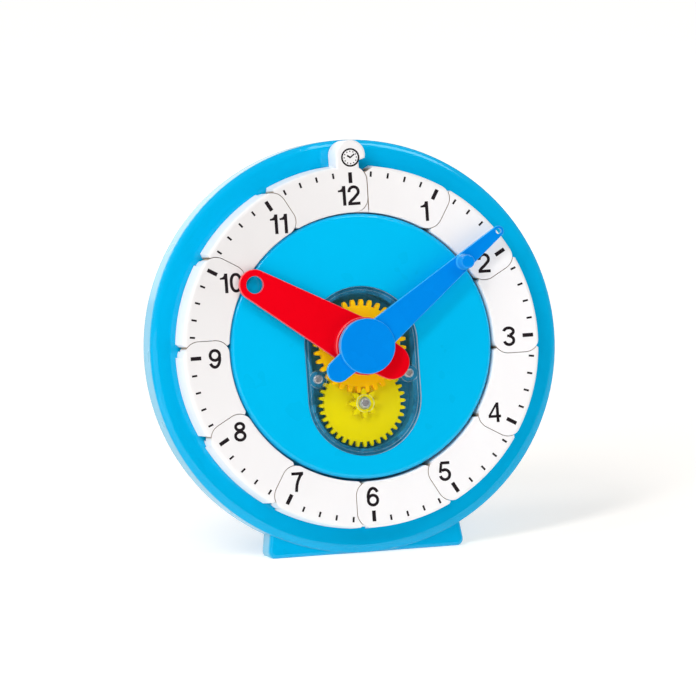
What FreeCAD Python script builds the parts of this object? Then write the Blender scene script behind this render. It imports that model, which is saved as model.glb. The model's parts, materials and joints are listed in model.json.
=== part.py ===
"""Geared teaching clock with a ring of number links that unrolls into a number line.

Every piece is modelled in the dial frame: X to the reader's right, Y up the dial and Z out of
the dial, with the hands' axis at X = Y = 0 and the faces of the number links at Z = 0. stand()
then leans the clock back and sets it on the ground plane, +Z up, with the reader at -Y.
Millimetres and degrees throughout. Clock angles run clockwise from 12, as the reader sees them.
"""
import FreeCAD, Part
import math
import os

Vec = FreeCAD.Vector
OUT = Vec(0, 0, 1)

# ---- stance
lean = 9.3                    # how far the dial leans back
foot_drop = 1.2               # how much higher the hands' axis stands than the rim's radius

# ---- running and assembly clearances
shaft_clearance = 0.08        # radial, between a shaft and its bore
fit_clearance = 0.05          # between pieces pressed or screwed together
head_clearance = 0.25         # round a screw's head in its recess
link_clearance = 0.3          # between the number links and the body they lie on
seam = 0.35                   # between one link's round end and the next link's socket
first_seam = 0.45             # the same at 12 o'clock, where the ring opens
play = 0.1                    # end play of a wheel on its axle
layer_gap = 0.5               # between wheels that turn in front of each other

# ---- body
wall = 2.4
drum_radius = 73.6
drum_front = -1.0
drum_edge = 2.2
rim_width = 14.7              # rim that shows outside the number links
rim_front = -13.6             # ledge that the number links lie on
rim_depth = 13.3
rim_band = 4.4                # width of the sloping outer band of the rim
rim_band_drop = 1.0
rim_band_bulge = 0.45         # middle of the band, as a share of its width in from the rim's side
rim_band_sink = 0.3           # and as a share of its drop
rim_edge = 0.9                # rounding between the band and the side wall
rim_edge_shape = (0.8, 0.2, 0.4)  # start inset, middle inset and middle drop, in shares of it
foot_half_width = 56.0
foot_step = 1.8               # how far the foot's face lies behind the ledge
foot_height = 22.0            # how far up the foot block runs into the round rim
foot_flare = 8.0
foot_corner = 4.0
foot_edge = 2.2

# ---- rear cover
cover_thickness = 2.2
cover_gap = 0.2
heel_half_width = 33.0
heel_depth = 33.1
heel_height = 46.0
heel_toe = 9.0                # height of the heel's rear edge
heel_sag = 0.36               # middle of its hollow back, as a share of the way from toe to top
heel_corner = 4.0

# ---- gear train
axle_distance = 31.7
arbor_teeth = 12
idler_teeth = 36
pinion_teeth = 8
hour_teeth = 32
pressure_angle = 20.0
arbor_shift = 0.4             # profile shifts, in modules; each wheel has minus its pinion's
pinion_shift = 0.5
addendum = 0.88
dedendum = 1.25
tooth_thinning = 0.12         # per tooth, for backlash
flank_steps = 6               # stretches that each tooth flank is drawn in
hour_wheel_width = 2.6
idler_wheel_width = 2.6
pinion_overlap = 0.2          # how far the arbor's pinion stands past the idler wheel, each side
hub_ring = 2.0                # wall of the spacer ring on each wheel's hub

# ---- gear well and window
wheel_room = 2.1              # between the hour wheel's teeth and the well
well_top = 1.2                # centre of the well's upper round end
well_rise = 2.9               # centre of its lower round end above the idler's axle
well_wall = 2.0
floor_gap = 0.8               # behind the idler wheel
window_ledge = 4.0            # width of the ledge that carries the window
window_gap = 0.2
window_recess = 1.6           # depth of that ledge in the drum
window_thickness = 1.1
window_lip = 1.8
window_lip_height = 1.5       # front of the lip above the ledge
window_boss_radius = 4.9
window_boss_height = 1.7
window_plug_height = 0.7      # boss behind the window that enters the idler's bore
post_inset = 2.4              # centre of each side post inside the well's wall
post_drop = 0.85              # side posts below the middle between the two axles
post_radius = 4.3
idler_post_radius = 3.4

# ---- arbor, tube and hands
arbor_radius = 3.0
arbor_square = 4.2
square_inset = 1.0            # end of the arbor's square behind the front of the minute hand's hub
hour_tube_radius = 5.2
hour_tube_flat = 4.4
hand_gap = 2.6                # hour hand in front of the drum
hand_thickness = 2.2
hour_hub_rise = 1.6
hub_gap = 0.8                 # between the two hubs
minute_hub_rise = 1.5
hour_hub_radius = 16.1
minute_hub_radius = 15.4
hour_tip_inset = 4.3          # centre of the hour hand's tip inside the number links
hour_tip_radius = 8.6
hour_tip_hole = 4.9
hour_root_half = 14.6
hour_tail_distance = 18.0
hour_tail_radius = 9.8
minute_tip_inset = 2.6        # centre of the minute hand's tip inside the links' outer edge
minute_tip_radius = 3.0
minute_tip_hole = 1.6
minute_root_half = 9.7
minute_tail_distance = 21.0
minute_tail_radius = 6.3
knob_inset = 26.0             # knob's axis from the centre of the minute hand's tip
knob_base_radius = 4.5
knob_top_radius = 3.7
knob_height = 7.2
hand_edge = 0.5
tail_flare = 1.2              # half width of a tail at the axis, in radii of its round end
hour_hand_angle = 302.8       # the time shown is a little after ten
minute_hand_angle = 53.4
bearing_length = 3.4          # boss behind the well's floor that the arbor turns in
bearing_radius = 6.0
washer_thickness = 0.8
washer_radius = 5.4

# ---- screws
window_screw_head = 2.35
window_screw_head_height = 1.3
window_screw_shank = 1.1
window_screw_length = 6.0
window_screw_rise = 0.6       # seat of its head above the window's ledge
cover_screw_head = 2.8
cover_screw_head_height = 1.7
cover_screw_shank = 1.3
cover_screw_length = 5.6
cover_screw_count = 6
cover_screw_inset = 17.5      # from the rim's outer edge
cover_post_radius = 3.8
arbor_screw_head = 4.4
arbor_screw_head_height = 1.6
arbor_screw_shank = 1.2
arbor_screw_length = 6.0
recess_width = 0.6
recess_depth = 0.6
recess_reach = 0.62           # arm of the cross recess, as a share of the head's radius
head_round = 0.45             # rounding of a head, as a share of its height
shank_point = 0.5             # chamfer of a shank, as a share of its radius
pilot_extra = 0.3             # depth of a pilot hole beyond its screw's end

# ---- number links
link_count = 12
axle_link = 6                 # the ring hinges on the body where this link ends
ring_gap = 1.0                # between the drum and the ring, if they shared one centre
ring_sag = 0.4                # the loose ring's centre below the hands' axis
link_width = 25.7
link_draft = 0.9              # how much wider the outer side is at its base
link_skin = 2.0
link_wall = 1.8
link_outer_edge = 2.2
link_inner_edge = 0.8
hinge_inset = 8.3             # each hinge from the ring's outer edge
hinge_lead = 0.5              # clock angle from the hour mark to the hinge
inner_corner = 8.0
outer_horn = 40.0             # where a socket's outer horn starts, turned about the hinge
inner_horn = 37.0
first_outer_horn = 60.0       # the same on the first link, which the last one swings out of
corner_groove = 1.2           # depth of the groove round the last link's inner corner
tongue_thickness = 2.8
tongue_radius = 5.8
tongue_half = 4.5
tongue_gap = 0.3
hinge_pin = 2.0
hinge_boss = 4.6
tab_offset = 1.2              # tab's centre line to the right of 12 o'clock
tab_rise = 6.3                # tab's centre outside the ring
tab_radius = 8.3
tab_neck = 5.6                # right side of the tab's neck
tab_neck_drop = 3.4           # where the neck starts, below the tab's centre
tab_edge = 1.3
tab_side_angle = 105.0        # clock angle where the tab's round head runs into its neck

# ---- worked out
link_step = 360.0 / link_count
link_inner = drum_radius + ring_gap
link_outer = link_inner + link_width
hinge_radius = link_outer - hinge_inset
rim_radius = link_outer + rim_width
rim_back = rim_front - rim_depth
axis_height = rim_radius + foot_drop
foot_front = rim_front - foot_step
heel_back = rim_back - heel_depth
cover_front = rim_back + cover_thickness
cover_screw_seat = rim_back + cover_thickness / 2
cover_screw_circle = rim_radius - cover_screw_inset
cavity_radius = rim_radius - wall
ledge_back = rim_front - wall
link_base = rim_front + link_clearance
tongue_top = link_base + tongue_thickness
module_front = 2 * axle_distance / (pinion_teeth + hour_teeth)
module_back = 2 * axle_distance / (arbor_teeth + idler_teeth)
window_seat = drum_front - window_recess
window_face = window_seat + window_thickness
window_screw_seat = window_seat + window_screw_rise
idler_post_front = window_seat - window_plug_height
hour_wheel_front = window_seat - layer_gap
idler_wheel_front = hour_wheel_front - hour_wheel_width - layer_gap
idler_wheel_back = idler_wheel_front - idler_wheel_width
well_floor = idler_wheel_back - floor_gap
well_bottom = well_rise - axle_distance
well_radius = module_front * (hour_teeth / 2 + addendum - pinion_shift) + wheel_room
window_radius = well_radius + window_ledge
post_x = well_radius - post_inset
post_y = -axle_distance / 2 - post_drop
floor_back = well_floor - well_wall
bearing_back = floor_back - bearing_length
arbor_end = bearing_back - washer_thickness - play
hour_hand_back = drum_front + hand_gap
hour_hand_front = hour_hand_back + hand_thickness
hour_hub_front = hour_hand_front + hour_hub_rise
minute_hand_back = hour_hub_front + hub_gap
minute_hand_front = minute_hand_back + hand_thickness
minute_hub_front = minute_hand_front + minute_hub_rise
hour_tip_distance = link_inner - hour_tip_inset
minute_tip_distance = link_outer - minute_tip_inset
knob_distance = minute_tip_distance - knob_inset
tab_centre_y = link_outer + tab_rise
reach = 2 * rim_radius        # longer than anything it cuts
band_span = 1.7 * link_step   # stretch of ring that one link is cut from, wider than the link
band_start = -1.3 * link_step


# ---- helpers
def at_clock(radius, angle, z=0.0):
    """Point at a radius and a clock angle."""
    turn = math.radians(angle)
    return Vec(radius * math.sin(turn), radius * math.cos(turn), z)


def clockwise(shape, angle):
    """Copy of a shape turned clockwise about the hands' axis."""
    turned = shape.copy()
    turned.rotate(Vec(0, 0, 0), OUT, -angle)
    return turned


def disc(radius, z_low, z_high, x=0.0, y=0.0):
    """Solid cylinder along Z."""
    return Part.makeCylinder(radius, z_high - z_low, Vec(x, y, z_low))


def block(x_low, x_high, y_low, y_high, z_low, z_high):
    """Solid box."""
    return Part.makeBox(x_high - x_low, y_high - y_low, z_high - z_low, Vec(x_low, y_low, z_low))


def polygon(points):
    """Closed face through points in one plane."""
    return Part.Face(Part.makePolygon(points + [points[0]]))


def prism(face, z_low, z_high):
    """Face in the plane Z = 0, swept from z_low to z_high."""
    solid = face.extrude(Vec(0, 0, z_high - z_low))
    solid.translate(Vec(0, 0, z_low))
    return solid


def stadium(radius, z_low, z_high):
    """Round-ended prism over the gear well's two centres."""
    ends = disc(radius, z_low, z_high, y=well_top).fuse(disc(radius, z_low, z_high, y=well_bottom))
    middle = block(-radius, radius, well_bottom, well_top, z_low, z_high)
    return ends.fuse(middle).removeSplitter()


def wedge(apex, start, end, z_low, z_high):
    """Prism of the sector from clock angle start to end about a point, wider than any link."""
    far = hinge_radius / 4
    corners = [apex, apex + at_clock(far, start), apex + at_clock(far, end)]
    return prism(polygon(corners), z_low, z_high)


def turned_profile(edges, sweep=360.0, start=0.0):
    """Solid of a closed profile in the plane X = 0, turned clockwise from a clock angle."""
    face = Part.Face(Part.Wire(Part.__sortEdges__(edges)))
    solid = face.revolve(Vec(0, 0, 0), OUT, -sweep)
    return clockwise(solid, start)


def line(start, end):
    return Part.LineSegment(start, end).toShape()


def arc(start, middle, end):
    return Part.Arc(start, middle, end).toShape()


def corner(centre, radius, start, end):
    """Arc in the plane X = 0 from one direction to another, in degrees from +Y towards +Z."""
    def on(angle):
        turn = math.radians(angle)
        return centre + Vec(0, radius * math.cos(turn), radius * math.sin(turn))
    return arc(on(start), on((start + end) / 2), on(end))


def ground_y(z):
    """Dial height of the ground plane at a depth."""
    return -(axis_height + z * math.sin(math.radians(lean))) / math.cos(math.radians(lean))


def above_ground(rise, z_low, z_high):
    """Prism of all that lies above the ground plane by some rise."""
    lift = rise / math.cos(math.radians(lean))
    side = [Vec(-reach, ground_y(z_low) + lift, z_low), Vec(-reach, ground_y(z_high) + lift, z_high),
            Vec(-reach, reach, z_high), Vec(-reach, reach, z_low)]
    return polygon(side).extrude(Vec(2 * reach, 0, 0))


def vertical_edges(solid):
    """Edges of a solid that run along Z."""
    found = []
    for edge in solid.Edges:
        first, last = edge.Vertexes[0].Point, edge.Vertexes[-1].Point
        if abs(first.x - last.x) < 1e-6 and abs(first.y - last.y) < 1e-6:
            found.append(edge)
    return found


def edges_at(solid, z):
    """Edges of a solid that lie wholly at one depth."""
    return [edge for edge in solid.Edges
            if abs(edge.BoundBox.ZMin - z) < 1e-6 and abs(edge.BoundBox.ZMax - z) < 1e-6]


def stand(shape):
    """Shape leaned back and set on the ground, its base centred on the origin."""
    tilt = FreeCAD.Rotation(Vec(1, 0, 0), 90.0 - lean)
    front = tilt.multVec(Vec(0, ground_y(foot_front), foot_front)).y
    back = tilt.multVec(Vec(0, ground_y(heel_back), heel_back)).y
    place = FreeCAD.Placement(Vec(0, -(front + back) / 2, axis_height), tilt)
    return shape.transformed(place.toMatrix())


# ---- body
def foot_block(inset, z_low, z_high):
    """Flared foot below the rim, cut square; inset draws its sides in."""
    low = ground_y(z_high) - 2 * wall
    high = ground_y(z_high) + foot_height
    half_low = foot_half_width - inset + (ground_y(z_high) - low) * math.tan(math.radians(foot_flare))
    half_high = foot_half_width - inset - foot_height * math.tan(math.radians(foot_flare))
    corners = [Vec(-half_low, low, 0), Vec(half_low, low, 0),
               Vec(half_high, high, 0), Vec(-half_high, high, 0)]
    return prism(polygon(corners), z_low, z_high)


def foot_solid():
    """Foot with rounded lower corners and front edges, standing on the ground plane."""
    base = ground_y(foot_front)
    slope = math.tan(math.radians(foot_flare))
    high = base + foot_height
    half_high = foot_half_width - foot_height * slope
    corners = [Vec(-foot_half_width, base, 0), Vec(foot_half_width, base, 0),
               Vec(half_high, high, 0), Vec(-half_high, high, 0)]
    solid = prism(polygon(corners), rim_back, foot_front)
    lower = [edge for edge in vertical_edges(solid) if edge.Vertexes[0].Point.y < base + 1.0]
    solid = solid.makeFillet(foot_corner, lower)
    sides = [edge for edge in edges_at(solid, foot_front)
             if edge.BoundBox.YLength > foot_height / 2 and edge.BoundBox.XLength < foot_height]
    solid = solid.makeFillet(foot_edge, sides)
    return solid.common(above_ground(0.0, rim_back - 1, foot_front + 1))


def drum_and_rim():
    """Outer form of the body: the proud drum, the ledge and the rim, closed behind."""
    slope_start = Vec(0, rim_radius - rim_band, rim_front)
    band_low = rim_front - rim_band_drop
    band_mid = Vec(0, rim_radius - rim_band * (1 - rim_band_bulge), rim_front - rim_band_drop * rim_band_sink)
    start_inset, mid_inset, mid_drop = (share * rim_edge for share in rim_edge_shape)
    band_end = Vec(0, rim_radius - start_inset, band_low)
    edge_mid = Vec(0, rim_radius - mid_inset, band_low - mid_drop)
    edge_end = Vec(0, rim_radius, band_low - rim_edge)
    drum_top = Vec(0, drum_radius - drum_edge, drum_front)
    drum_side = Vec(0, drum_radius, drum_front - drum_edge)
    edges = [line(Vec(0, 0, drum_front), drum_top),
             corner(Vec(0, drum_radius - drum_edge, drum_front - drum_edge), drum_edge, 90, 0),
             line(drum_side, Vec(0, drum_radius, rim_front)),
             line(Vec(0, drum_radius, rim_front), slope_start),
             arc(slope_start, band_mid, band_end),
             arc(band_end, edge_mid, edge_end),
             line(edge_end, Vec(0, rim_radius, rim_back)),
             line(Vec(0, rim_radius, rim_back), Vec(0, 0, rim_back)),
             line(Vec(0, 0, rim_back), Vec(0, 0, drum_front))]
    return turned_profile(edges)


def body_cavity(inset, z_low):
    """Hollow behind the ledge, inside the rim and the foot; inset leaves a gap all round."""
    round_part = disc(cavity_radius - inset, z_low, ledge_back)
    foot_part = foot_block(wall + inset, z_low, foot_front - wall)
    return round_part.fuse(foot_part).common(above_ground(wall + inset, z_low - 1, ledge_back + 1))


def screw_places():
    """Centres of the rear cover's screws."""
    step = 360.0 / cover_screw_count
    return [at_clock(cover_screw_circle, step * (index + 0.5)) for index in range(cover_screw_count)]


def window_posts():
    """Centres of the three window screws: left post, right post and idler axle."""
    return [(-post_x, post_y), (post_x, post_y), (0.0, -axle_distance)]


def front_shell():
    solid = drum_and_rim().fuse(foot_solid()).common(above_ground(0.0, rim_back - 1, reach))
    solid = solid.cut(body_cavity(0.0, rim_back - 1))
    solid = solid.cut(disc(drum_radius - wall, rim_back - 1, drum_front - wall))
    solid = solid.fuse(stadium(well_radius + well_wall, floor_back, drum_front - wall / 2))
    solid = solid.cut(stadium(well_radius, well_floor, reach))
    solid = solid.cut(stadium(window_radius, window_seat, reach))
    posts = [disc(post_radius, well_floor, window_seat, x, y) for x, y in window_posts()[:2]]
    posts.append(disc(idler_post_radius, well_floor, idler_post_front, 0.0, -axle_distance))
    posts.append(disc(bearing_radius, bearing_back, floor_back))
    for spot in screw_places():
        posts.append(disc(cover_post_radius, cover_front, ledge_back, spot.x, spot.y))
    axle = hinge_at(link_step * axle_link) - Vec(0, ring_sag, 0)
    posts.append(disc(hinge_pin, rim_front, -link_skin - play, axle.x, axle.y))
    solid = solid.multiFuse(posts)
    pilot_low = window_screw_seat - window_screw_length - pilot_extra
    pilots = [disc(window_screw_shank + fit_clearance, pilot_low, reach, x, y) for x, y in window_posts()]
    pilots.append(disc(arbor_radius + shaft_clearance, bearing_back - 1, well_floor + 1))
    for spot in screw_places():
        pilot_top = cover_screw_seat + cover_screw_length + pilot_extra
        pilots.append(disc(cover_screw_shank + fit_clearance, rim_back, pilot_top, spot.x, spot.y))
    return solid.cut(Part.makeCompound(pilots)).removeSplitter()


def heel_form(inset, front):
    """Wedge that props the clock from behind, from depth front rearwards; inset gives its hollow."""
    back = heel_back + inset
    half = heel_half_width - inset
    top = ground_y(rim_back) + heel_height - inset
    toe = ground_y(back) + heel_toe - inset
    sag = toe + (top - toe) * heel_sag
    upper = Vec(0, top, front)
    lower = Vec(0, ground_y(front) - wall, front)
    heel = Vec(0, ground_y(back) - wall, back)
    edges = [arc(Vec(0, toe, back), Vec(0, sag, (front + back) / 2), upper),
             line(upper, lower), line(lower, heel), line(heel, Vec(0, toe, back))]
    solid = Part.Face(Part.Wire(edges)).extrude(Vec(2 * half, 0, 0))
    solid.translate(Vec(-half, 0, 0))
    upright = [edge for edge in solid.Edges
               if edge.BoundBox.XLength < 1e-6 and edge.BoundBox.ZMax < back + 1e-6]
    return solid.makeFillet(heel_corner - inset, upright) if heel_corner > inset else solid


def rear_cover():
    layer = block(-reach, reach, -reach, reach, rim_back, cover_front)
    plate = body_cavity(cover_gap, rim_back).common(layer)
    solid = plate.fuse(heel_form(0.0, rim_back)).common(above_ground(0.0, heel_back - 1, reach))
    hollow = heel_form(wall, cover_front + 1).common(above_ground(wall, heel_back - 1, reach))
    solid = solid.cut(hollow)
    holes = []
    shank_hole = cover_screw_shank + 3 * fit_clearance
    head_hole = cover_screw_head + head_clearance
    for spot in screw_places():
        holes.append(disc(shank_hole, rim_back - 1, cover_front + 1, spot.x, spot.y))
        holes.append(disc(head_hole, rim_back - 1, cover_screw_seat, spot.x, spot.y))
    return solid.cut(Part.makeCompound(holes)).removeSplitter()


# ---- window and screws
def gear_window():
    outer = window_radius - window_gap
    solid = stadium(outer, window_seat, window_seat + window_lip_height)
    solid = solid.cut(stadium(outer - window_lip, window_face, reach))
    boss_front = window_seat + window_boss_height
    bosses = [disc(window_boss_radius, window_seat, boss_front, x, y) for x, y in window_posts()]
    bosses.append(disc(idler_post_radius, idler_post_front, window_face, 0.0, -axle_distance))
    solid = solid.multiFuse(bosses).common(stadium(outer, idler_post_front, reach))
    holes = [disc(hour_tube_radius + shaft_clearance, idler_post_front, reach)]
    for x, y in window_posts():
        holes.append(disc(window_screw_shank + fit_clearance, idler_post_front - 1, reach, x, y))
        holes.append(disc(window_screw_head + head_clearance, window_screw_seat, reach, x, y))
    return solid.cut(Part.makeCompound(holes)).removeSplitter()


def screw(head_radius, head_height, shank_radius, length):
    """Pan-head cross-recess screw, its seat at Z = 0 and its shank along -Z."""
    head = disc(head_radius, 0.0, head_height)
    head = head.makeFillet(head_height * head_round, edges_at(head, head_height))
    slot = head_radius * recess_reach
    for x_half, y_half in ((slot, recess_width / 2), (recess_width / 2, slot)):
        head = head.cut(block(-x_half, x_half, -y_half, y_half, head_height - recess_depth, head_height + 1))
    shank = disc(shank_radius, -length, fit_clearance)
    shank = shank.makeChamfer(shank_radius * shank_point, edges_at(shank, -length))
    return head.fuse(shank).removeSplitter()


def window_screws():
    one = screw(window_screw_head, window_screw_head_height, window_screw_shank, window_screw_length)
    group = []
    for x, y in window_posts():
        copy = one.copy()
        copy.translate(Vec(x, y, window_screw_seat))
        group.append(copy)
    return Part.makeCompound(group)


def rear_screws():
    one = screw(cover_screw_head, cover_screw_head_height, cover_screw_shank, cover_screw_length)
    one.rotate(Vec(0, 0, 0), Vec(1, 0, 0), 180)
    group = []
    for spot in screw_places():
        copy = one.copy()
        copy.translate(Vec(spot.x, spot.y, cover_screw_seat))
        group.append(copy)
    return Part.makeCompound(group)


# ---- gears
def involute(angle):
    turn = math.radians(angle)
    return math.tan(turn) - turn


def toothed_disc(teeth, module, shift, z_low, z_high, first_tooth=0.0):
    """Involute gear with a tooth centred at clock angle first_tooth."""
    pitch = teeth * module / 2
    base = pitch * math.cos(math.radians(pressure_angle))
    tip = pitch + module * (addendum + shift)
    root = pitch - module * (dedendum - shift)
    thickness = module * (math.pi / 2 + 2 * shift * math.tan(math.radians(pressure_angle))) - tooth_thinning
    half_at_base = thickness / (2 * pitch) + involute(pressure_angle)

    def half_angle(radius):
        at = math.degrees(math.acos(min(1.0, base / radius)))
        return math.degrees(half_at_base - involute(at))

    start = max(base, root)
    radii = [start + (tip - start) * index / flank_steps for index in range(flank_steps + 1)]
    edges = []
    for tooth in range(teeth):
        centre = first_tooth + 360.0 * tooth / teeth
        following = centre + 360.0 / teeth
        left = [at_clock(radius, centre - half_angle(radius)) for radius in radii]
        right = [at_clock(radius, centre + half_angle(radius)) for radius in reversed(radii)]
        foot_left = at_clock(root, centre - half_angle(start))
        foot_right = at_clock(root, centre + half_angle(start))
        next_foot = at_clock(root, following - half_angle(start))
        valley = at_clock(root, centre + 180.0 / teeth)
        for side in (left, right):
            curve = Part.BSplineCurve()
            curve.interpolate(side)
            edges.append(curve.toShape())
        edges.append(arc(left[-1], at_clock(tip, centre), right[0]))
        if start > root:
            edges.append(line(foot_left, left[0]))
            edges.append(line(right[-1], foot_right))
        edges.append(arc(foot_right, valley, next_foot))
    face = Part.Face(Part.Wire(Part.__sortEdges__(edges)))
    return prism(face, z_low, z_high)


def minute_arbor():
    """Shaft that the minute hand drives, with the train's first pinion."""
    pinion_back = idler_wheel_back - pinion_overlap
    pinion = toothed_disc(arbor_teeth, module_back, arbor_shift, pinion_back,
                          idler_wheel_front + pinion_overlap, 180.0 / arbor_teeth)
    collar = disc(arbor_radius + hub_ring, well_floor + play, pinion_back)
    shaft = disc(arbor_radius, arbor_end, minute_hand_back)
    half = arbor_square / 2
    square = block(-half, half, -half, half, minute_hand_back - 1, minute_hub_front - square_inset)
    square = square.common(disc(arbor_radius, minute_hand_back - 1, minute_hub_front))
    square = clockwise(square, minute_hand_angle)
    pilot_top = arbor_end + arbor_screw_length + pilot_extra
    pilot = disc(arbor_screw_shank + fit_clearance, arbor_end - 1, pilot_top)
    return pinion.multiFuse([collar, shaft, square]).cut(pilot).removeSplitter()


def arbor_washer():
    low = bearing_back - washer_thickness
    ring = disc(washer_radius, low, bearing_back - fit_clearance)
    return ring.cut(disc(arbor_radius + fit_clearance, low - 1, bearing_back + 1))


def arbor_screw():
    solid = screw(arbor_screw_head, arbor_screw_head_height, arbor_screw_shank, arbor_screw_length)
    solid.rotate(Vec(0, 0, 0), Vec(1, 0, 0), 180)
    solid.translate(Vec(0, 0, arbor_end))
    return solid


def idler_gear():
    """Large wheel and small pinion in one, turning on the post below the hands."""
    wheel = toothed_disc(idler_teeth, module_back, -arbor_shift, idler_wheel_back, idler_wheel_front)
    pinion = toothed_disc(pinion_teeth, module_front, pinion_shift, idler_wheel_back, window_seat - play)
    spacer = disc(idler_post_radius + hub_ring, well_floor + play, idler_wheel_front)
    bore = disc(idler_post_radius + shaft_clearance, well_floor, 0.0)
    solid = wheel.multiFuse([pinion, spacer]).cut(bore)
    solid.translate(Vec(0, -axle_distance, 0))
    return solid


def double_flat(radius, half, z_low, z_high):
    """Round bar with two flats, the key between the hour tube and its hand."""
    bar = disc(radius, z_low, z_high).common(block(-radius, radius, -half, half, z_low, z_high))
    return clockwise(bar, hour_hand_angle)


def hour_wheel():
    back = hour_wheel_front - hour_wheel_width
    wheel = toothed_disc(hour_teeth, module_front, -pinion_shift, back, hour_wheel_front, 180.0 / hour_teeth)
    spacer = disc(hour_tube_radius + hub_ring, hour_wheel_front, window_seat - play)
    tube = disc(hour_tube_radius, hour_wheel_front, hour_hand_back)
    key = double_flat(hour_tube_radius, hour_tube_flat, hour_hand_back, hour_hub_front)
    bore = disc(arbor_radius + shaft_clearance, back - 1, minute_hand_back)
    return wheel.multiFuse([spacer, tube, key]).cut(bore).removeSplitter()


# ---- hands
def tapered_blade(root_half, tip_distance, tip_radius, z_low, z_high):
    """Blade up the dial whose straight sides run from root_half at the axis onto a round tip."""
    slope = math.asin((root_half - tip_radius) / tip_distance)
    side_x = tip_radius * math.cos(slope)
    side_y = tip_distance + tip_radius * math.sin(slope)
    corners = [Vec(-root_half, 0, 0), Vec(root_half, 0, 0), Vec(side_x, side_y, 0), Vec(-side_x, side_y, 0)]
    blade = prism(polygon(corners), z_low, z_high)
    return blade.fuse(disc(tip_radius, z_low, z_high, y=tip_distance))


def hand_plate(root_half, tip_distance, tip_radius, tail_distance, tail_radius, z_low, z_high):
    """Flat hand pointing at 12, with a round tip, a round tail and eased front edges."""
    plate = tapered_blade(root_half, tip_distance, tip_radius, z_low, z_high)
    tail = tapered_blade(min(root_half, tail_radius * tail_flare), tail_distance, tail_radius, z_low, z_high)
    tail.rotate(Vec(0, 0, 0), OUT, 180)
    plate = plate.fuse(tail).removeSplitter()
    return plate.makeFillet(hand_edge, edges_at(plate, z_high))


def hub(radius, z_low, z_high):
    solid = disc(radius, z_low, z_high)
    return solid.makeFillet(hand_edge, edges_at(solid, z_high))


def hour_hand():
    plate = hand_plate(hour_root_half, hour_tip_distance, hour_tip_radius,
                       hour_tail_distance, hour_tail_radius, hour_hand_back, hour_hand_front)
    plate = plate.fuse(hub(hour_hub_radius, hour_hand_back, hour_hub_front))
    plate = plate.cut(disc(hour_tip_hole, hour_hand_back - 1, hour_hand_front + 1, y=hour_tip_distance))
    plate = clockwise(plate, hour_hand_angle)
    key = double_flat(hour_tube_radius + fit_clearance, hour_tube_flat + fit_clearance,
                      hour_hand_back - 1, hour_hub_front + 1)
    return plate.cut(key).removeSplitter()


def minute_hand():
    plate = hand_plate(minute_root_half, minute_tip_distance, minute_tip_radius,
                       minute_tail_distance, minute_tail_radius, minute_hand_back, minute_hand_front)
    knob_foot = Vec(0, knob_distance, minute_hand_front)
    knob = Part.makeCone(knob_base_radius, knob_top_radius, knob_height, knob_foot)
    knob = knob.makeFillet(2 * hand_edge, edges_at(knob, minute_hand_front + knob_height))
    plate = plate.multiFuse([hub(minute_hub_radius, minute_hand_back, minute_hub_front), knob])
    ring_hole = disc(minute_tip_hole, minute_hand_back - 1, minute_hand_front + 1, y=minute_tip_distance)
    plate = plate.cut(ring_hole)
    half = arbor_square / 2 + fit_clearance
    socket_front = minute_hub_front - square_inset + fit_clearance
    socket = block(-half, half, -half, half, minute_hand_back - 1, socket_front)
    return clockwise(plate.cut(socket), minute_hand_angle).removeSplitter()


# ---- number links
def end_region(grow, z_low, z_high):
    """All that lies behind a link's round end at 12 o'clock, its outline grown by grow."""
    arc_radius = hinge_inset + grow
    inner_x = hinge_inset - inner_corner
    inner_y = link_inner + inner_corner
    inner_radius = inner_corner + grow
    slant = math.sqrt(0.5)
    far = rim_radius / 2
    top = Vec(0, hinge_radius + arc_radius, 0)
    side_high = Vec(arc_radius, hinge_radius, 0)
    side_low = Vec(arc_radius, inner_y, 0)
    bottom = Vec(inner_x, inner_y - inner_radius, 0)
    edges = [arc(top, Vec(slant * arc_radius, hinge_radius + slant * arc_radius, 0), side_high),
             line(side_high, side_low),
             arc(side_low, Vec(inner_x + slant * inner_radius, inner_y - slant * inner_radius, 0), bottom),
             line(bottom, Vec(inner_x, far, 0) - Vec(0, rim_radius / 8, 0))]
    low = edges[-1].Vertexes[-1].Point.y
    high = rim_radius + far
    outline = [Vec(inner_x, low, 0), Vec(-far, low, 0), Vec(-far, high, 0), Vec(0, high, 0), top]
    edges += [line(start, end) for start, end in zip(outline, outline[1:])]
    face = Part.Face(Part.Wire(edges))
    return clockwise(prism(face, z_low, z_high), hinge_lead)


def ring_band(inner, outer, z_low, z_high, inner_edge, outer_edge, draft):
    """Stretch of ring a little longer than one link, with rounded front edges."""
    def at(radius, z):
        return Vec(0, radius, z)
    edges = [line(at(inner, z_low), at(inner, z_high - inner_edge))]
    if inner_edge:
        edges.append(corner(at(inner + inner_edge, z_high - inner_edge), inner_edge, 180, 90))
    edges.append(line(at(inner + inner_edge, z_high), at(outer - outer_edge, z_high)))
    if outer_edge:
        edges.append(corner(at(outer - outer_edge, z_high - outer_edge), outer_edge, 90, 0))
    edges.append(line(at(outer, z_high - outer_edge), at(outer + draft, z_low)))
    edges.append(line(at(outer + draft, z_low), at(inner, z_low)))
    return turned_profile(edges, band_span, band_start)


def hinge_at(angle=0.0):
    return at_clock(hinge_radius, hinge_lead + angle)


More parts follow.
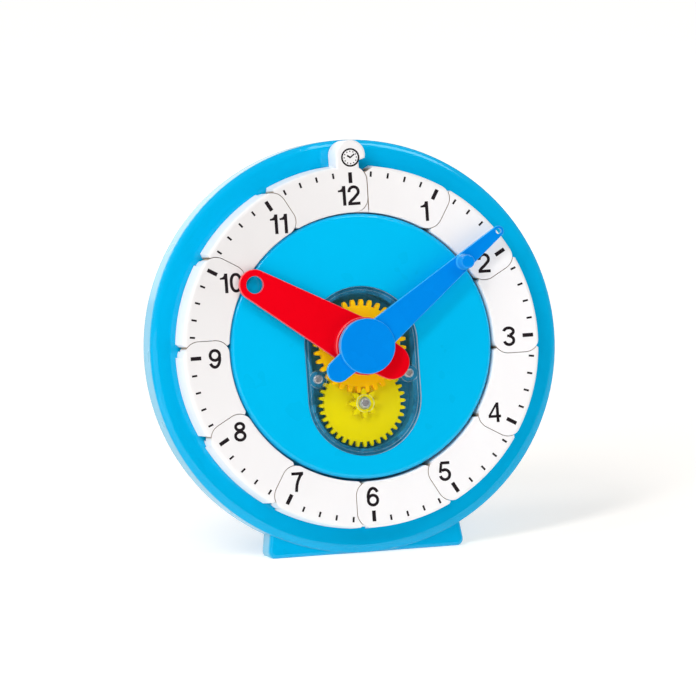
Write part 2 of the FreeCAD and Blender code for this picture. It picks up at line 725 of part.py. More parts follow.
def link_outline(number, z_low, z_high, trim=0.0):
    """Region of one link that ends at 12 o'clock: round end ahead, socket behind."""
    gap, outer_start = (first_seam, first_outer_horn) if number == 1 else (seam, outer_horn)
    region = end_region(-trim, z_low, z_high)
    region = region.cut(clockwise(end_region(gap + trim, z_low, z_high), -link_step))
    inner_centre = Vec(hinge_inset - inner_corner, link_inner + inner_corner, 0)
    horns = wedge(Vec(0, hinge_radius, 0), 0.0, outer_start, z_low, z_high)
    if number == 1:
        wall_x = hinge_inset + gap + trim
        horns = horns.fuse(block(-hinge_radius, wall_x, 0, inner_centre.y, z_low, z_high))
    else:
        horns = horns.fuse(wedge(inner_centre, 180.0, 180.0 - inner_horn, z_low, z_high))
    return region.cut(clockwise(horns, hinge_lead - link_step))


def square_corner():
    """Square inner corner of the last link, which a groove sets off from its round end."""
    stretch = block(hinge_inset - inner_corner, hinge_inset, link_inner / 2, link_inner + inner_corner,
                    link_base, 1.0)
    band = ring_band(link_inner, link_outer, link_base, 0.0, link_inner_edge, link_outer_edge, link_draft)
    groove = end_region(seam, -corner_groove, 1.0).cut(end_region(0.0, -corner_groove, 1.0))
    return clockwise(stretch, hinge_lead).common(band).cut(groove)


def tongue(number):
    """Hinge plate that reaches back from a link's socket, under the link before it."""
    hinge = Vec(0, hinge_radius, 0)
    plate = disc(tongue_radius, link_base, tongue_top, hinge.x, hinge.y)
    bar = block(0, hinge_inset + seam + link_wall, hinge.y - tongue_half, hinge.y + tongue_half,
                link_base, tongue_top)
    plate = plate.fuse(bar)
    if number == axle_link + 1:
        plate = plate.cut(disc(hinge_pin + shaft_clearance, link_base - 1, tongue_top + 1, hinge.x, hinge.y))
    else:
        plate = plate.fuse(disc(hinge_pin, tongue_top, -link_skin - play, hinge.x, hinge.y))
    return clockwise(plate, hinge_lead - link_step)


def pull_tab():
    """Round-headed tab on the last link, which the reader pulls to open the ring."""
    left = tab_offset - tab_radius
    low = link_outer - link_outer_edge - link_wall
    neck_start = Vec(tab_neck, tab_centre_y - tab_neck_drop, 0)
    right = at_clock(tab_radius, tab_side_angle) + Vec(tab_offset, tab_centre_y, 0)
    edges = [arc(Vec(left, tab_centre_y, 0), Vec(tab_offset, tab_centre_y + tab_radius, 0), right),
             line(right, neck_start),
             line(neck_start, Vec(tab_neck, low, 0)),
             line(Vec(tab_neck, low, 0), Vec(left, low, 0)),
             line(Vec(left, low, 0), Vec(left, tab_centre_y, 0))]
    solid = prism(Part.Face(Part.Wire(edges)), link_base, 0.0)
    front = [edge for edge in edges_at(solid, 0.0) if edge.BoundBox.YMax > low + 1e-6]
    return solid.makeFillet(tab_edge, front)


def tongue_room():
    """Space behind a link's round end in which the next link's tongue turns."""
    hinge = Vec(0, hinge_radius, 0)
    low, high = link_base - 1, tongue_top + tongue_gap
    half = tongue_half + tongue_gap
    shut = block(0, 2 * tongue_radius, hinge.y - half, hinge.y + half, low, high)
    swung = shut.copy()
    swung.rotate(hinge, OUT, link_step)
    under = disc(tongue_radius + 2 * tongue_gap, low, high, y=hinge.y)
    between = wedge(hinge, 90.0 - link_step, 90.0, low, high)
    return clockwise(under.multiFuse([shut, swung, between]), hinge_lead)


def number_link(number):
    """Link that ends at the mark of its own hour, modelled ending at 12 and then turned."""
    solid = ring_band(link_inner, link_outer, link_base, 0.0, link_inner_edge, link_outer_edge, link_draft)
    solid = solid.common(link_outline(number, link_base - 1, 1.0))
    hollow = ring_band(link_inner + link_wall, link_outer - link_wall, link_base - 1, -link_skin, 0, 0, 0)
    hollow = hollow.common(link_outline(number, link_base - 2, 0.0, link_wall))
    if number == link_count:
        solid = solid.fuse(pull_tab()).cut(hollow).fuse(square_corner())
    else:
        boss = disc(hinge_boss, tongue_top + tongue_gap, -link_skin / 2, y=hinge_radius)
        bore = disc(hinge_pin + shaft_clearance, tongue_top, -link_skin, y=hinge_radius)
        solid = solid.cut(hollow).fuse(clockwise(boss, hinge_lead)).cut(clockwise(bore, hinge_lead))
        solid = solid.cut(tongue_room())
    if number > 1:
        solid = solid.fuse(tongue(number))
    solid = clockwise(solid.removeSplitter(), number * link_step)
    solid.translate(Vec(0, -ring_sag, 0))
    return solid


def main():
    os.makedirs("parts", exist_ok=True)
    pieces = {
        "front_shell": front_shell(),
        "rear_cover": rear_cover(),
        "rear_cover_screws": rear_screws(),
        "gear_window": gear_window(),
        "window_screws": window_screws(),
        "minute_arbor": minute_arbor(),
        "arbor_washer": arbor_washer(),
        "arbor_screw": arbor_screw(),
        "idler_gear": idler_gear(),
        "hour_wheel": hour_wheel(),
        "hour_hand": hour_hand(),
        "minute_hand": minute_hand(),
    }
    for number in range(1, link_count + 1):
        pieces["number_link_%02d" % number] = number_link(number)
    for name, shape in pieces.items():
        standing = stand(shape)
        standing.exportStep("parts/" + name + ".step")
        print(name, len(shape.Solids), shape.isValid(), round(shape.Volume, 1), len(shape.Faces))


main()
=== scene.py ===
"""Geared teaching clock: looks, printed marks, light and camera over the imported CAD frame."""
import json
import math

import bpy
from mathutils import Matrix, Vector


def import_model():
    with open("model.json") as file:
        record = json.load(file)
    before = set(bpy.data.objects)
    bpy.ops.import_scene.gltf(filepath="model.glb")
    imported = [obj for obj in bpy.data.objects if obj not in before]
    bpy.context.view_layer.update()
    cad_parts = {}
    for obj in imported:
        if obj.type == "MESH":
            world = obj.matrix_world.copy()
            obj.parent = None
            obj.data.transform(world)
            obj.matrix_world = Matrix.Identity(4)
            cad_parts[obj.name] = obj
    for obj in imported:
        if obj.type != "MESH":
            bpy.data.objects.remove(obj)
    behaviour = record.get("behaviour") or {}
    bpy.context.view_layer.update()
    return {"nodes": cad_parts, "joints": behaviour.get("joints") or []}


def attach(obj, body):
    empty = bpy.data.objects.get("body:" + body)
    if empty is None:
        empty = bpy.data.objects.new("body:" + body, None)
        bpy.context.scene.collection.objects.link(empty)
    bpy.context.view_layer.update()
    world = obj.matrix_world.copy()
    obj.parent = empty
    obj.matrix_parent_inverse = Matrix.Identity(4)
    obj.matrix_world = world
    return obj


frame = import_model()
NODES = frame["nodes"]
JOINTS = {joint["name"]: joint for joint in frame["joints"]}

# ---------------------------------------------------------------- dial frame
# The dial's centre lies on the hands' axis at the faces of the number links. RIGHT, UP and OUT
# are its axes in the world; everything printed is laid out in millimetres in this frame.
MM = 0.001
CENTRE = Vector(JOINTS["minute_hand_turn"]["pos_m"])
OUT = -Vector(JOINTS["minute_hand_turn"]["axis"]).normalized()
RIGHT = Vector((1.0, 0.0, 0.0))
UP = OUT.cross(RIGHT).normalized()
DIAL = Matrix((RIGHT, UP, OUT)).transposed()
LINKS = range(1, 13)
RING_SAG = 0.4                # the ring's centre below the hands' axis


def world(x, y, z=0.0):
    """World point of a dial point in millimetres."""
    return CENTRE + DIAL @ Vector((x, y, z)) * MM


IDLER_Y = (Vector(JOINTS["idler_turn"]["pos_m"]) - CENTRE).dot(UP) / MM


def at_clock(radius, angle):
    """Point of the dial at a radius and an angle clockwise from 12 o'clock, in degrees."""
    turn = math.radians(angle)
    return Vector((radius * math.sin(turn), radius * math.cos(turn)))


# ---------------------------------------------------------------- materials
class Nodes:
    """Small helper round one material's node tree."""

    def __init__(self, name):
        self.material = bpy.data.materials.new(name)
        self.material.use_nodes = True
        self.tree = self.material.node_tree
        self.shader = self.tree.nodes["Principled BSDF"]
        self.coords = self.add("ShaderNodeTexCoord").outputs["Object"]

    def add(self, kind, **settings):
        node = self.tree.nodes.new(kind)
        for key, value in settings.items():
            setattr(node, key, value)
        return node

    def link(self, source, target):
        self.tree.links.new(source, target)

    def set(self, **values):
        for name, value in values.items():
            self.shader.inputs[name.replace("_", " ")].default_value = value

    def noise(self, scale, detail=3.0, roughness=0.55):
        node = self.add("ShaderNodeTexNoise")
        node.inputs["Scale"].default_value = scale
        node.inputs["Detail"].default_value = detail
        node.inputs["Roughness"].default_value = roughness
        self.link(self.coords, node.inputs["Vector"])
        return node.outputs["Fac"]

    def uneven(self, scale, low=0.0, high=1.0, detail=3.0):
        """Noise spread between two values."""
        return self.ranged(self.noise(scale, detail), 0.3, 0.7, low, high)

    def ranged(self, value, low, high, to_low=0.0, to_high=1.0):
        node = self.add("ShaderNodeMapRange")
        for socket, number in zip(node.inputs[1:5], (low, high, to_low, to_high)):
            socket.default_value = number
        self.link(value, node.inputs["Value"])
        return node.outputs["Result"]

    def maths(self, operation, first, second):
        node = self.add("ShaderNodeMath", operation=operation)
        for socket, value in zip(node.inputs, (first, second)):
            if isinstance(value, (int, float)):
                socket.default_value = value
            else:
                self.link(value, socket)
        return node.outputs["Value"]

    def mixed(self, factor, first, second):
        """Colour between two colours or colour sockets."""
        node = self.add("ShaderNodeMix", data_type="RGBA")
        self.link(factor, node.inputs["Factor"])
        sockets = [s for s in node.inputs if s.type == "RGBA"]
        for socket, value in zip(sockets, (first, second)):
            if isinstance(value, (tuple, list)):
                socket.default_value = (*value, 1.0)
            else:
                self.link(value, socket)
        return [s for s in node.outputs if s.type == "RGBA"][0]

    def dial_point(self, x=0.0, y=0.0):
        """Distance from an axis out of the dial and depth along it, in millimetres."""
        place = self.add("ShaderNodeMapping", vector_type="POINT")
        turn = DIAL.to_3x3().transposed()
        place.inputs["Rotation"].default_value = turn.to_euler()
        place.inputs["Location"].default_value = -(turn @ world(x, y))
        self.link(self.coords, place.inputs["Vector"])
        split = self.add("ShaderNodeSeparateXYZ")
        self.link(place.outputs["Vector"], split.inputs["Vector"])
        squares = [self.maths("MULTIPLY", split.outputs[axis], split.outputs[axis]) for axis in "XY"]
        radius = self.maths("SQRT", self.maths("ADD", *squares), 0.0)
        return self.maths("MULTIPLY", radius, 1000.0), self.maths("MULTIPLY", split.outputs["Z"], 1000.0)

    def facing_out(self, rounding=0.0):
        """How far the surface faces out of the dial, -1 to 1, its edges rounded over some metres."""
        if rounding:
            bevel = self.add("ShaderNodeBevel", samples=6)
            bevel.inputs["Radius"].default_value = rounding
            normal = bevel.outputs["Normal"]
        else:
            normal = self.add("ShaderNodeNewGeometry").outputs["Normal"]
        turn = self.add("ShaderNodeVectorTransform", vector_type="NORMAL",
                        convert_from="WORLD", convert_to="OBJECT")
        self.link(normal, turn.inputs["Vector"])
        dot = self.add("ShaderNodeVectorMath", operation="DOT_PRODUCT")
        self.link(turn.outputs["Vector"], dot.inputs[0])
        dot.inputs[1].default_value = OUT
        return dot.outputs["Value"]

    def facing_along(self, rounding=0.0):
        """How squarely the surface faces in or out of the dial, 0 to 1."""
        return self.maths("ABSOLUTE", self.facing_out(rounding), 0.0)

    def paler_edges(self, colour, share, rounding, front):
        """Mix a colour into rounded edges and side walls as a painted highlight;
        less of it in front of a depth."""
        base = self.shader.inputs["Base Color"].links[0].from_socket
        radius, depth = self.dial_point()
        thin = self.ranged(depth, front, front + 0.5, share, share * 0.4)
        edge = self.maths("MULTIPLY", self.ranged(self.facing_out(rounding), 0.97, 0.5), thin)
        self.colour(self.mixed(edge, base, colour))

    def bump(self, height, distance, strength=1.0, soft_edge=0.0):
        node = self.add("ShaderNodeBump")
        node.inputs["Strength"].default_value = strength
        node.inputs["Distance"].default_value = distance
        self.link(height, node.inputs["Height"])
        if soft_edge:
            bevel = self.add("ShaderNodeBevel", samples=4)
            bevel.inputs["Radius"].default_value = soft_edge
            self.link(bevel.outputs["Normal"], node.inputs["Normal"])
        self.link(node.outputs["Normal"], self.shader.inputs["Normal"])

    def colour(self, socket):
        self.link(socket, self.shader.inputs["Base Color"])

    def roughness(self, socket):
        self.link(socket, self.shader.inputs["Roughness"])


def moulded(name, colour, deep, rough=(0.22, 0.34), specular=0.25, tint=(1.0, 1.0, 1.0),
            coat=0.0, edge=0.35, grain=0.012):
    """Injection-moulded plastic: cloudy pigment, uneven polish, a fine skin and eased edges.

    edge and grain are in millimetres.
    """
    n = Nodes(name)
    n.colour(n.mixed(n.uneven(28.0, detail=4.0), deep, colour))
    n.roughness(n.uneven(55.0, *rough, detail=2.0))
    n.bump(n.noise(2600.0, 2.0), grain * MM, 0.6, edge * MM)
    n.set(IOR=1.5, Specular_IOR_Level=specular, Specular_Tint=(*tint, 1.0))
    n.set(Coat_Weight=coat, Coat_Roughness=0.06)
    return n


def shell_material():
    """Sky blue shell: drum and rim, painted light paling the rim's side, painted shade darkening the well.
    """
    drum_edge, rim_start = 73.7, 75.2
    shade_start, shade_full = -1.7, -2.4
    shade_reach = 72.0           # the painted shade stays inside this radius
    side_wall = 113.6
    post_radius = 3.6             # idler's post, which shows as a ring round its screw
    n = moulded("shell_blue", (0.0, 0.495, 0.865), (0.0, 0.48, 0.85), rough=(0.27, 0.31), specular=0.4,
                tint=(0.0, 0.7, 1.0), coat=0.5, edge=1.2)
    radius, depth = n.dial_point()
    base = n.shader.inputs["Base Color"].links[0].from_socket
    base = n.mixed(n.ranged(radius, drum_edge, rim_start), base, (0.0, 0.43, 0.79))
    # painted shade: the well's floor, sides and posts behind the window are darkened
    inside = n.ranged(radius, shade_reach + 0.6, shade_reach)
    painted_recess_shade = n.maths("MULTIPLY", n.ranged(depth, shade_start, shade_full), inside)
    base = n.mixed(painted_recess_shade, base, (0.03, 0.24, 0.42))
    # painted light: the rim's side is paler, as light falling on it from the side makes it look
    outside = n.ranged(radius, side_wall, side_wall + 0.8)
    painted_wall_light = n.maths("MULTIPLY", n.ranged(n.facing_out(), 0.75, 0.2), outside)
    base = n.mixed(painted_wall_light, base, (0.1, 0.48, 0.72))
    from_idler = n.dial_point(0.0, IDLER_Y)[0]
    n.colour(n.mixed(n.ranged(from_idler, post_radius + 0.3, post_radius), base, (0.8, 0.72, 0.3)))
    return n.material


def link_material():
    """Satin white links, painted shade greying them towards the upper left, painted light on their
    side walls, and painted warm shade on their end walls in the seams."""
    inner_wall, outer_wall = 75.4, 99.4
    shade_centre = (-90.0, 90.0)
    n = moulded("link_white", (0.945, 0.937, 0.955), (0.92, 0.912, 0.93), rough=(0.36, 0.48), edge=0.3)
    radius = n.dial_point()[0]
    base = n.shader.inputs["Base Color"].links[0].from_socket
    # painted shade: the faces grey towards the upper left, standing in for how they are lit
    from_shade_centre = n.dial_point(*shade_centre)[0]
    base = n.mixed(n.ranged(from_shade_centre, 210.0, 40.0), base, (0.745, 0.73, 0.734))
    # painted light: surfaces that face sideways are whiter, as lit outer sides look
    base = n.mixed(n.ranged(n.facing_out(), 0.95, 0.4, 0.0, 0.9), base, (0.97, 0.97, 0.98))
    between = n.maths("MULTIPLY", n.ranged(radius, inner_wall, inner_wall + 0.6),
                      n.ranged(radius, outer_wall, outer_wall - 0.6))
    # painted shade: a warm brown on the end walls, where the seams lie in shade
    seam_shade = n.maths("MULTIPLY", n.ranged(n.facing_along(), 0.5, 0.2), between)
    n.colour(n.mixed(seam_shade, base, (0.5, 0.37, 0.26)))
    return n.material


def window_material():
    """Clear window: thin and see-through face on, denser at its edges, with a painted highlight there."""
    n = Nodes("window_clear")
    haze = n.uneven(40.0, 0.01, 0.025)
    side = n.ranged(n.facing_along(0.4 * MM), 0.96, 0.55)
    n.link(n.maths("ADD", n.maths("MULTIPLY", side, 0.62), haze), n.shader.inputs["Alpha"])
    # painted highlight: the edges are paler and glow faintly, standing in for light caught on the lip
    n.colour(n.mixed(side, (0.08, 0.16, 0.18), (0.56, 0.72, 0.82)))
    n.set(IOR=1.49, Emission_Color=(0.5, 0.74, 0.86, 1.0))
    n.link(n.ranged(side, 0.3, 1.0, 0.0, 0.3), n.shader.inputs["Emission Strength"])
    n.roughness(n.uneven(60.0, 0.03, 0.1))
    n.bump(n.noise(300.0), 0.01 * MM, 0.5, 0.2 * MM)
    return n.material


def steel_material():
    """Zinc-plated screws with fine turned marks."""
    n = Nodes("screw_zinc")
    n.colour(n.mixed(n.uneven(900.0), (0.42, 0.41, 0.42), (0.66, 0.65, 0.66)))
    n.roughness(n.uneven(1500.0, 0.25, 0.45))
    n.bump(n.noise(4000.0), 0.01 * MM, 0.5, 0.12 * MM)
    n.set(Metallic=1.0)
    return n.material


def ink_material():
    """Matt black print."""
    n = Nodes("ink_black")
    n.colour(n.mixed(n.uneven(700.0), (0.008, 0.005, 0.007), (0.016, 0.01, 0.013)))
    n.roughness(n.uneven(1200.0, 0.42, 0.6))
    n.bump(n.noise(5000.0), 0.004 * MM, 0.5)
    n.set(Specular_IOR_Level=0.12)
    return n.material


SHELL = shell_material()
COVER = moulded("cover_blue", (0.0, 0.43, 0.82), (0.0, 0.4, 0.79), rough=(0.4, 0.52), grain=0.03).material
LINK = link_material()
WINDOW = window_material()
STEEL = steel_material()
INK = ink_material()
RED = moulded("hand_red", (0.83, 0.0, 0.008), (0.78, 0.0, 0.006), rough=(0.2, 0.28),
              tint=(1.0, 0.05, 0.1), coat=0.4, edge=0.5)
# painted highlight: paler rounded edges and side walls on the hour hand
RED.paler_edges((1.0, 0.22, 0.24), 0.7, 0.5 * MM, front=12.0)
BLUE = moulded("hand_blue", (0.0, 0.25, 0.8), (0.0, 0.225, 0.77), rough=(0.22, 0.3),
               tint=(0.0, 0.6, 1.0), coat=0.4, edge=0.5)
# painted highlight: paler rounded edges and side walls on the minute hand, less on its knob
BLUE.paler_edges((0.06, 0.56, 1.0), 0.7, 0.5 * MM, front=10.3)
YELLOW = moulded("idler_yellow", (0.83, 0.72, 0.0), (0.79, 0.67, 0.0), rough=(0.35, 0.45),
                 tint=(1.0, 0.9, 0.1), edge=0.15).material
AMBER = moulded("wheel_amber", (1.0, 0.6, 0.0), (0.97, 0.56, 0.0), rough=(0.35, 0.45),
                tint=(1.0, 0.8, 0.1), edge=0.15)
AMBER.set(Emission_Color=(1.0, 0.5, 0.0, 1.0), Emission_Strength=0.14)   # painted glow, lifting the wheel out of the well's shade

DRESS = {
    "front_shell": SHELL, "rear_cover": COVER, "gear_window": WINDOW,
    "window_screws": STEEL, "rear_cover_screws": STEEL, "arbor_screw": STEEL, "arbor_washer": STEEL,
    "minute_arbor": YELLOW, "idler_gear": YELLOW, "hour_wheel": AMBER.material,
    "hour_hand": RED.material, "minute_hand": BLUE.material,
}
for name, node in NODES.items():
    material = DRESS.get(name, LINK)
    node.data.materials.clear()
    node.data.materials.append(material)

# ---------------------------------------------------------------- printed marks
# Marks are in millimetres; a digit's outline is in parts of its height.
INK_HEIGHT = 0.03             # above the link's face
INK_SINK = 0.02               # below it, so that no gap shows
LAYER_STEP = 0.002            # strokes that cross end at slightly different heights
LAYERS = 4
STROKE = 0.15                 # of a digit's height
DIGIT_GAP = 0.1               # of a digit's height
DIGIT_HEIGHT = 10.9


def bow(cx, cy, rx, ry, start, end, steps=28, power=2.0):
    """Points on an ellipse; angles in degrees, anticlockwise from the right."""
    points = []
    for index in range(steps + 1):
        turn = math.radians(start + (end - start) * index / steps)
        c, s = math.cos(turn), math.sin(turn)
        x = math.copysign(abs(c) ** (2 / power), c)
        y = math.copysign(abs(s) ** (2 / power), s)
        points.append((cx + rx * x, cy + ry * y))
    return points


def ribbon(points, width):
    """Flat ribbon along a path, as quads with mitred joints."""
    path = [Vector(point) for point in points]
    closed = (path[0] - path[-1]).length < 1e-6
    if closed:
        path = path[:-1]
    count = len(path)
    sides = []
    for index in range(count):
        before = path[index - 1] if closed or index else path[0]
        after = path[(index + 1) % count] if closed or index < count - 1 else path[-1]
        first = (path[index] - before).normalized() if before != path[index] else None
        second = (after - path[index]).normalized() if after != path[index] else None
        first, second = first or second, second or first
        heading = (first + second).normalized()
        normal = Vector((-heading.y, heading.x))
        reach = width / 2 / max(0.5, normal.dot(Vector((-first.y, first.x))))
        sides.append((path[index] + normal * reach, path[index] - normal * reach))
    spans = range(count if closed else count - 1)
    return [(sides[i][0], sides[i][1], sides[(i + 1) % count][1], sides[(i + 1) % count][0]) for i in spans]


def quad(*corners):
    return [tuple(Vector(c) for c in corners)]


def digit(symbol):
    """Polygons of one grotesque digit, one unit tall, and its width."""
    w = STROKE
    h = w / 2
    if symbol == "0":
        return ribbon(bow(0.32, 0.5, 0.32 - h, 0.5 - h, 90, 450, 48, 2.25), w), 0.64
    if symbol == "1":
        curve = [(0.0, 0.79), (0.1, 0.805), (0.17, 0.84), (0.215, 0.9), (0.235, 1.0)]
        flag = [quad(a, b, (b[0], 0.7), (a[0], 0.7))[0] for a, b in zip(curve, curve[1:])]
        right = 0.235 + w * 1.1
        return flag + quad((0.235, 0), (right, 0), (right, 1), (0.235, 1)), right
    if symbol == "2":
        top = bow(0.315, 0.69, 0.315 - h, 0.31 - h, 186, -38)
        run = [(0.3, 0.335), (0.17, 0.235), (0.09, 0.14), (h + 0.012, h)]
        return ribbon(top + run, w) + ribbon([(0.0, h), (0.63, h)], w), 0.63
    if symbol == "3":
        top = bow(0.31, 0.745, 0.25, 0.255 - h, 172, -80)
        low = bow(0.31, 0.29, 0.315 - h, 0.29 - h, 84, -172)
        return ribbon(top, w) + ribbon(low, w) + ribbon([(0.22, 0.525), (0.34, 0.525)], w * 0.9), 0.63
    if symbol == "4":
        stem = quad((0.4, 0), (0.4 + w, 0), (0.4 + w, 1), (0.4, 1))
        bar = quad((0.0, 0.235), (0.645, 0.235), (0.645, 0.235 + w * 0.9), (0.0, 0.235 + w * 0.9))
        slope = quad((0.0, 0.235 + w * 0.9), (0.13, 0.235 + w * 0.9), (0.43, 0.83), (0.42, 1.0))
        return stem + bar + slope, 0.645
    if symbol == "5":
        low = bow(0.31, 0.325, 0.32 - h, 0.325 - h, 128, -168)
        back = [(0.075, 0.43), (0.15, 1 - h)]
        return ribbon(low, w) + ribbon(back, w * 0.92) + ribbon([(0.115, 1 - h), (0.58, 1 - h)], w), 0.63
    if symbol in "69":
        ring = bow(0.32, 0.325, 0.32 - h, 0.325 - h, 0, 360, 40)
        sweep = bow(0.345, 0.47, 0.345 - h, 0.53 - h, 185, 34, 24)
        shape = ribbon(ring, w) + ribbon(sweep, w)
        if symbol == "9":
            shape = [tuple(Vector((0.64 - p.x, 1 - p.y)) for p in face) for face in shape]
        return shape, 0.64
    if symbol == "7":
        run = [(0.555, 1 - h), (0.43, 0.78), (0.32, 0.56), (0.245, 0.33), (0.205, 0.0)]
        return ribbon([(0.0, 1 - h), (0.61, 1 - h)], w) + ribbon(run, w), 0.61
    upper = bow(0.32, 0.75, 0.285 - h, 0.25 - h, 90, 450, 36)
    lower = bow(0.32, 0.285, 0.32 - h, 0.285 - h, 90, 450, 36)
    return ribbon(upper, w) + ribbon(lower, w), 0.64


def numeral(number):
    """Polygons of a number centred on the origin, in millimetres."""
    faces, x = [], 0.0
    for symbol in str(number):
        shape, width = digit(symbol)
        faces += [tuple(Vector((p.x + x, p.y)) for p in face) for face in shape]
        x += width + DIGIT_GAP
    middle = Vector(((x - DIGIT_GAP) / 2, 0.5))
    return [tuple((p - middle) * DIGIT_HEIGHT for p in face) for face in faces]


def tick(angle, radius, length, width):
    """Radial tick centred at a clock angle and radius."""
    middle, along = at_clock(radius, angle), at_clock(1.0, angle)
    across = Vector((along.y, -along.x))
    half_l, half_w = along * length / 2, across * width / 2
    inner, outer = middle - half_l, middle + half_l
    return [(inner - half_w, inner + half_w, outer + half_w, outer - half_w)]


def printed(name, faces, body):
    """Thin raised ink: each polygon gets a top and walls down to the face, then rides on a body."""
    points, polygons = [], []
    for index, face in enumerate(faces):
        area = sum(a.x * b.y - b.x * a.y for a, b in zip(face, face[1:] + face[:1]))
        ordered = face if area > 0 else face[::-1]
        start, size = len(points), len(ordered)
        lift = INK_HEIGHT + LAYER_STEP * (index % LAYERS)
        for height in (lift, -INK_SINK):
            points += [world(p.x, p.y - RING_SAG, height) for p in ordered]
        polygons.append([start + i for i in range(size)])
        for i in range(size):
            after = (i + 1) % size
            polygons.append([start + i, start + size + i, start + size + after, start + after])
    mesh = bpy.data.meshes.new(name)
    mesh.from_pydata([tuple(p) for p in points], [], polygons)
    mesh.materials.append(INK)
    piece = bpy.data.objects.new(name, mesh)
    bpy.context.scene.collection.objects.link(piece)
    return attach(piece, body)


HOUR_ANGLE = 30.0
NUMERAL_RADIUS = 83.2
NUMERAL_SHIFT = {12: (-1.4, 0.9), 1: (-1.0, 0.4), 11: (-0.4, -1.0),
                 10: (0.9, -1.2), 9: (0.0, -0.8), 8: (0.0, -0.4)}   # the print isn't quite even
HOUR_TICK = {"radius": 93.9, "length": 6.0, "width": 2.1}
MINUTE_TICK = {"radius": 95.8, "length": 3.0, "width": 1.1}
MINUTES_PAST = (7.0, 12.76, 18.51, 24.27)   # degrees past the hour before
for hour in LINKS:
    body = "link_%02d" % hour
    shift = Vector(NUMERAL_SHIFT.get(hour, (0.0, 0.0)))
    spot = at_clock(NUMERAL_RADIUS, HOUR_ANGLE * hour) + shift
    printed("numeral_%02d" % hour, [tuple(p + spot for p in face) for face in numeral(hour)], body)
    marks = tick(HOUR_ANGLE * hour, **HOUR_TICK)
    for past in MINUTES_PAST:
        marks += tick(HOUR_ANGLE * (hour - 1) + past, **MINUTE_TICK)
    printed("ticks_%02d" % hour, marks, body)


def around(centre, radius, steps):
    """Points of a circle, clockwise from the top."""
    return [centre + at_clock(radius, 360.0 * i / steps) for i in range(steps)]


def pictogram():
    """Small generic clock face on the pull tab."""
    centre = Vector((0.8, 105.1))
    ring_radius, ring_width = 4.7, 0.95
    dot_distance, dot_radius = 3.45, 0.38
    hand_tail = 0.3
    hands = ((304.0, 2.1, 0.95), (53.0, 2.9, 0.75))   # angle, length and width of each
    ring = around(centre, ring_radius, 48)
    faces = ribbon(ring + ring[:1], ring_width)
    for hour in LINKS:
        dot = centre + at_clock(dot_distance, HOUR_ANGLE * hour)
        faces.append(tuple(around(dot, dot_radius, 12)))
    for angle, length, width in hands:
        tail = centre - at_clock(hand_tail, angle)
        tip = centre + at_clock(length, angle)
        faces += ribbon([tail, tip], width)
    return faces


printed("tab_pictogram", pictogram(), "link_12")

# ---------------------------------------------------------------- floor and light
def stage_plane(name, size):
    """Square ground plane, its side in metres."""
    mesh = bpy.data.meshes.new(name)
    half = size / 2
    corners = [(-half, -half, 0), (half, -half, 0), (half, half, 0), (-half, half, 0)]
    mesh.from_pydata(corners, [], [(0, 1, 2, 3)])
    plane = bpy.data.objects.new(name, mesh)
    bpy.context.scene.collection.objects.link(plane)
    return plane


def floor_material():
    """White table with a painted glow, weaker near the clock, where its shadow shows, and stronger further
    out.
    """
    n = Nodes("floor_white")
    n.set(Base_Color=(0.88, 0.83, 0.775, 1.0), Emission_Color=(1.0, 1.0, 1.0, 1.0))
    n.roughness(n.ranged(n.noise(3.0), 0.0, 1.0, 0.85, 0.95))
    away = n.add("ShaderNodeVectorMath", operation="LENGTH")
    n.link(n.coords, away.inputs[0])
    n.link(n.ranged(away.outputs["Value"], 0.15, 1.2, 0.37, 0.62), n.shader.inputs["Emission Strength"])
    return n.material


stage_plane("studio_floor", 60.0).data.materials.append(floor_material())


def studio_world(bright, dark, backdrop, darkest_way):
    """White walls round the table, a dark room behind the camera, a bright backdrop opposite it,
    and plain white for the camera itself."""
    studio = bpy.data.worlds.new("studio")
    studio.use_nodes = True
    bpy.context.scene.world = studio
    tree = studio.node_tree
    way = tree.nodes.new("ShaderNodeTexCoord").outputs["Generated"]
    dot = tree.nodes.new("ShaderNodeVectorMath")
    dot.operation = "DOT_PRODUCT"
    dot.inputs[1].default_value = darkest_way
    tree.links.new(way, dot.inputs[0])
    fade = tree.nodes.new("ShaderNodeMapRange")
    fade.interpolation_type = "SMOOTHSTEP"
    for socket, number in zip(fade.inputs[1:5], (0.6, 0.92, bright, dark)):
        socket.default_value = number
    tree.links.new(dot.outputs["Value"], fade.inputs["Value"])
    glow = tree.nodes.new("ShaderNodeMapRange")
    for socket, number in zip(glow.inputs[1:5], (-0.9, -0.6, backdrop, 0.0)):
        socket.default_value = number
    tree.links.new(dot.outputs["Value"], glow.inputs["Value"])
    total = tree.nodes.new("ShaderNodeMath")
    tree.links.new(fade.outputs["Result"], total.inputs[0])
    tree.links.new(glow.outputs["Result"], total.inputs[1])
    walls = tree.nodes["Background"]
    tree.links.new(total.outputs["Value"], walls.inputs["Strength"])
    seen = tree.nodes.new("ShaderNodeBackground")
    for node in (walls, seen):
        node.inputs["Color"].default_value = (1.0, 1.0, 1.0, 1.0)
    path = tree.nodes.new("ShaderNodeLightPath")
    mix = tree.nodes.new("ShaderNodeMixShader")
    tree.links.new(path.outputs["Is Camera Ray"], mix.inputs["Fac"])
    tree.links.new(walls.outputs["Background"], mix.inputs[1])
    tree.links.new(seen.outputs["Background"], mix.inputs[2])
    tree.links.new(mix.outputs["Shader"], tree.nodes["World Output"].inputs["Surface"])


studio_world(bright=0.36, dark=0.035, backdrop=1.4, darkest_way=DIAL @ Vector((0.327, -0.026, 0.945)))


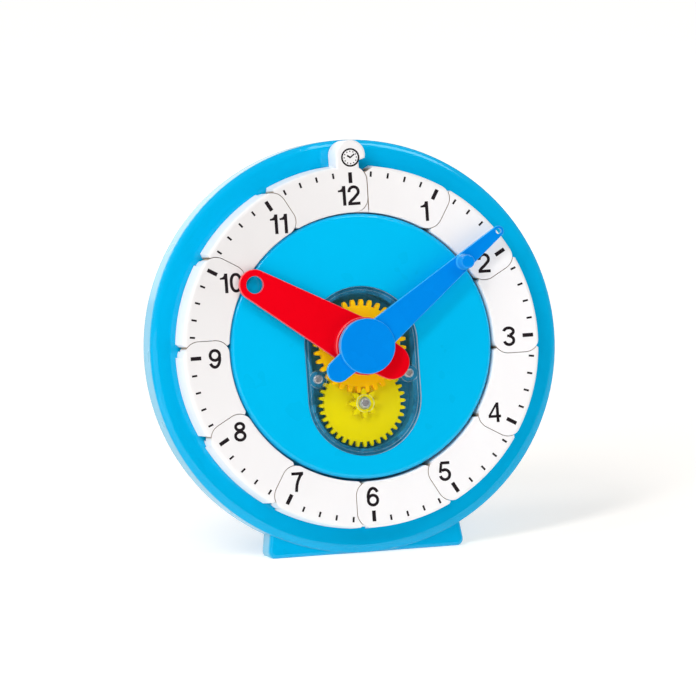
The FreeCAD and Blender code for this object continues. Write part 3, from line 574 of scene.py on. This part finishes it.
def soft_light(name, place, size, power, along=(1.0, 0.0, 0.0)):
    """Softbox aimed at the dial, its long side along a direction of the dial frame.

    place is in metres from the dial's centre, size is length and width in metres, power in watts.
    """
    lamp = bpy.data.lights.new(name, "AREA")
    lamp.shape = "RECTANGLE"
    lamp.size, lamp.size_y = size
    lamp.energy = power
    light = bpy.data.objects.new(name, lamp)
    bpy.context.scene.collection.objects.link(light)
    away = Vector(place).normalized()
    side = DIAL @ Vector(along)
    side = (side - away * side.dot(away)).normalized()
    light.matrix_world = Matrix.Translation(CENTRE + Vector(place)) @ Matrix(
        (side, away.cross(side), away)).transposed().to_4x4()
    light.visible_camera = False


soft_light("key_upper_left", (-1.3, -1.15, 1.45), (1.3, 0.32), 20.2, along=(0.54, 0.84, 0.0))
soft_light("key_upper_right", (0.9, -1.3, 1.3), (0.9, 0.5), 9.5)
soft_light("fill_front_low", (-0.5, -1.4, -0.02), (0.7, 0.7), 1.56)
soft_light("edge_strip", (-0.78, -0.18, 1.02), (0.8, 0.2), 3.0, along=(0.64, 0.77, 0.0))

# ---------------------------------------------------------------- camera
# The photograph's dial is a slightly skewed ellipse, as a plate taken off-axis and straightened
# afterwards gives. So the camera stands where the eye was, and its frame is turned to the
# straightened picture's axes. The skew sits in the parent's inverse, so the other views, which
# unparent the camera, are ordinary ones.
EYE_AZIMUTH, EYE_ELEVATION = 19.12, 1.465
PICTURE_AZIMUTH, PICTURE_ELEVATION, PICTURE_ROLL = 3.49, -0.038, -4.031
EYE_DISTANCE = 3000.0         # mm from the dial's centre
PIXELS_PER_MM = 1.80559
DIAL_PIXEL = (362.15, 346.1)
FRAME_PIXELS = 696

az, el = math.radians(EYE_AZIMUTH), math.radians(EYE_ELEVATION)
eye_way = Vector((-math.sin(az) * math.cos(el), math.sin(el), math.cos(az) * math.cos(el)))
picture = (Matrix.Rotation(-math.radians(PICTURE_AZIMUTH), 3, "Y")
           @ Matrix.Rotation(-math.radians(PICTURE_ELEVATION), 3, "X")
           @ Matrix.Rotation(math.radians(PICTURE_ROLL), 3, "Z"))
across, upward = picture.col[0], picture.col[1]
right_of_dial = (FRAME_PIXELS / 2 - DIAL_PIXEL[0]) / PIXELS_PER_MM
above_dial = (DIAL_PIXEL[1] - FRAME_PIXELS / 2) / PIXELS_PER_MM
aim = across * right_of_dial + upward * above_dial
eye = eye_way * EYE_DISTANCE
back = (eye - aim).normalized()
reach = (eye - aim).length

lens = bpy.data.cameras.new("camera")
lens.sensor_width = 36.0
lens.lens = PIXELS_PER_MM * reach / FRAME_PIXELS * lens.sensor_width
lens.clip_start, lens.clip_end = 0.1, 100.0
camera = bpy.data.objects.new("camera", lens)
bpy.context.scene.collection.objects.link(camera)
holder = bpy.data.objects.new("camera_holder", None)
bpy.context.scene.collection.objects.link(holder)
columns = [DIAL @ across, DIAL @ upward, DIAL @ back]
skewed = Matrix.Identity(4)
for index, column in enumerate(columns + [world(*eye)]):
    for row in range(3):
        skewed[row][index] = column[row]
camera.parent = holder
camera.matrix_parent_inverse = skewed
bpy.context.scene.camera = camera
bpy.context.scene.view_settings.view_transform = "Standard"
bpy.context.scene.view_settings.look = "None"
